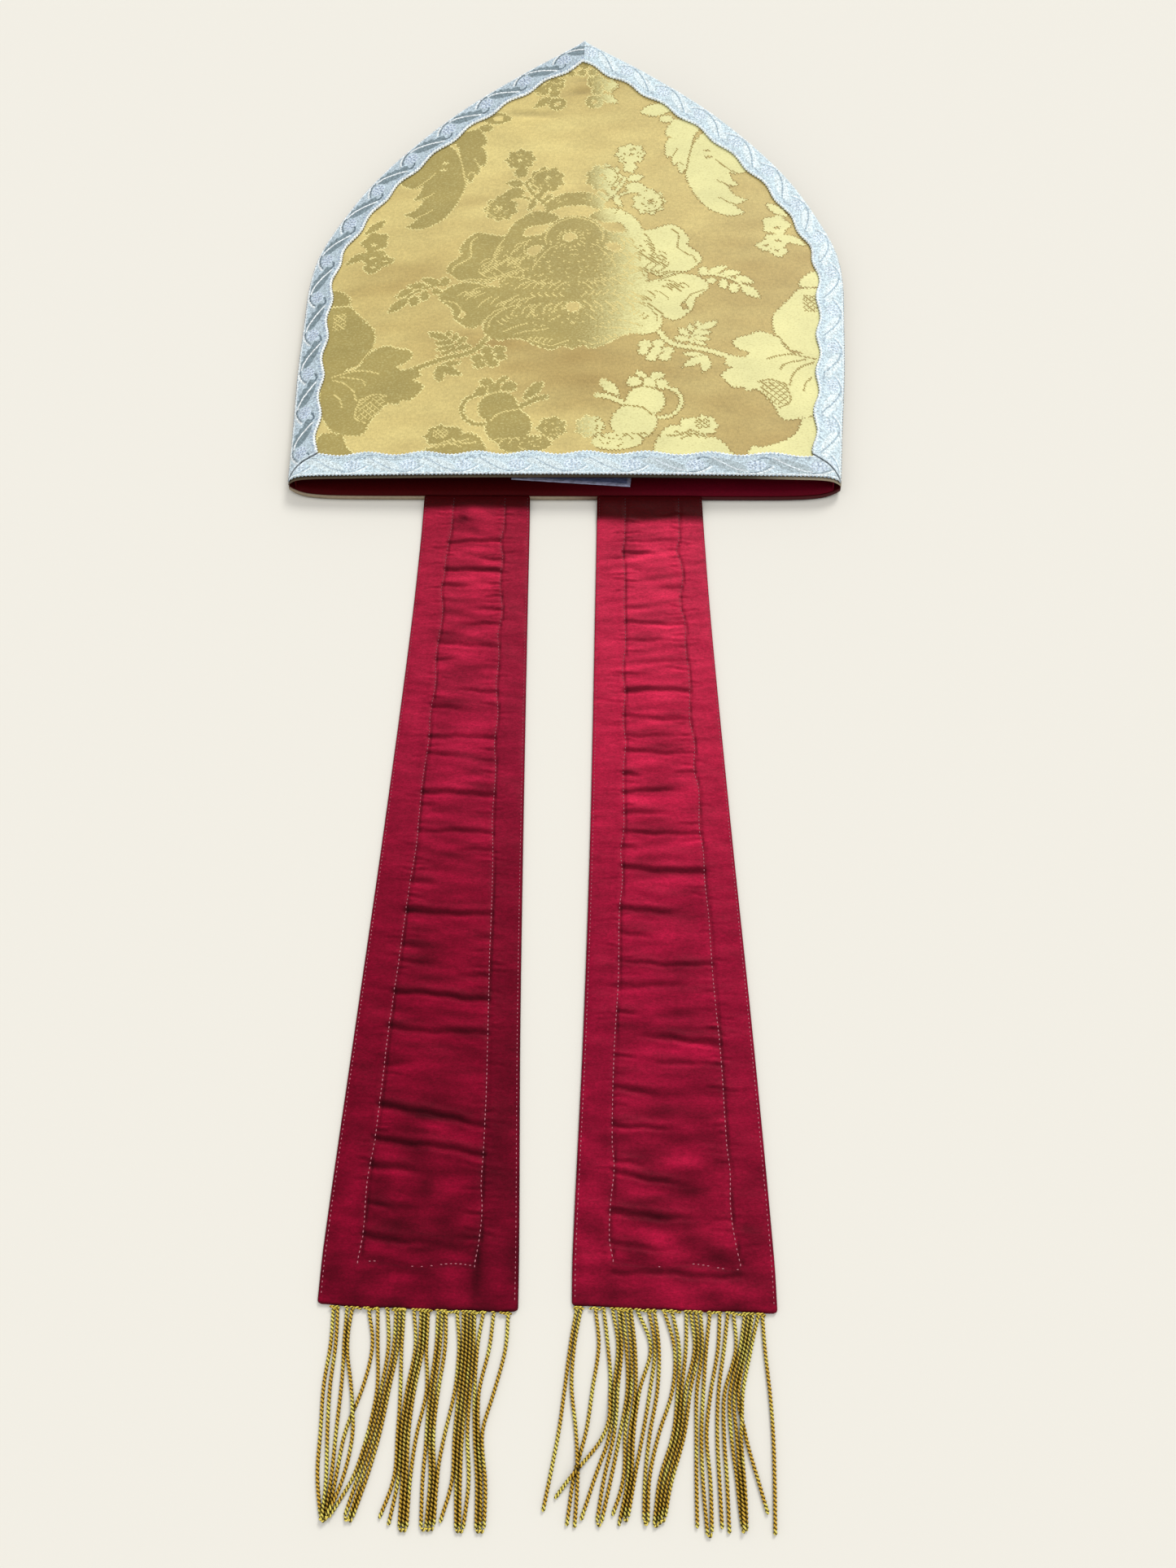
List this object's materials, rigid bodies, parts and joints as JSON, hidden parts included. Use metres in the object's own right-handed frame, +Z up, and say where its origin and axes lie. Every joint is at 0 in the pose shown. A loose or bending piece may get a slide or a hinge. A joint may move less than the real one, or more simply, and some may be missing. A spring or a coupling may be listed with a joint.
{
  "type": "bishop mitre",
  "caption": "Pointed ceremonial hat of two stiffened damask panels edged with metallic galloon, lying flat with its red-lined, gold-fringed lappets spread out.",
  "frame": {"origin": "on the table, under the middle of the whole object's box, lappets and fringe included", "axes": "+Y from the fringe past the rim to the point, +Z up out of the front panel, +X to the right with the front panel facing the viewer"},
  "size_m": [0.3188, 0.841, 0.0306],
  "materials": {
    "damask": "satin-like gold damask with olive figures",
    "galloon": "woven silver metallic ribbon",
    "lining": "dull dark red lining cloth",
    "lappet": "crimson lining satin with pink stitching",
    "fringe": "twisted gold metallic cord",
    "label": "bare woven label"
  },
  "bodies": {
    "root": {"front_panel": "damask", "back_panel": "damask", "lining": "lining", "gusset": "lining", "front_left_band": "galloon", "front_right_band": "galloon", "front_base_band": "galloon", "back_left_band": "galloon", "back_right_band": "galloon", "back_base_band": "galloon", "left_lappet": "lappet", "right_lappet": "lappet", "left_fringe": "fringe", "right_fringe": "fringe", "label": "label"}
  },
  "joints": []
}
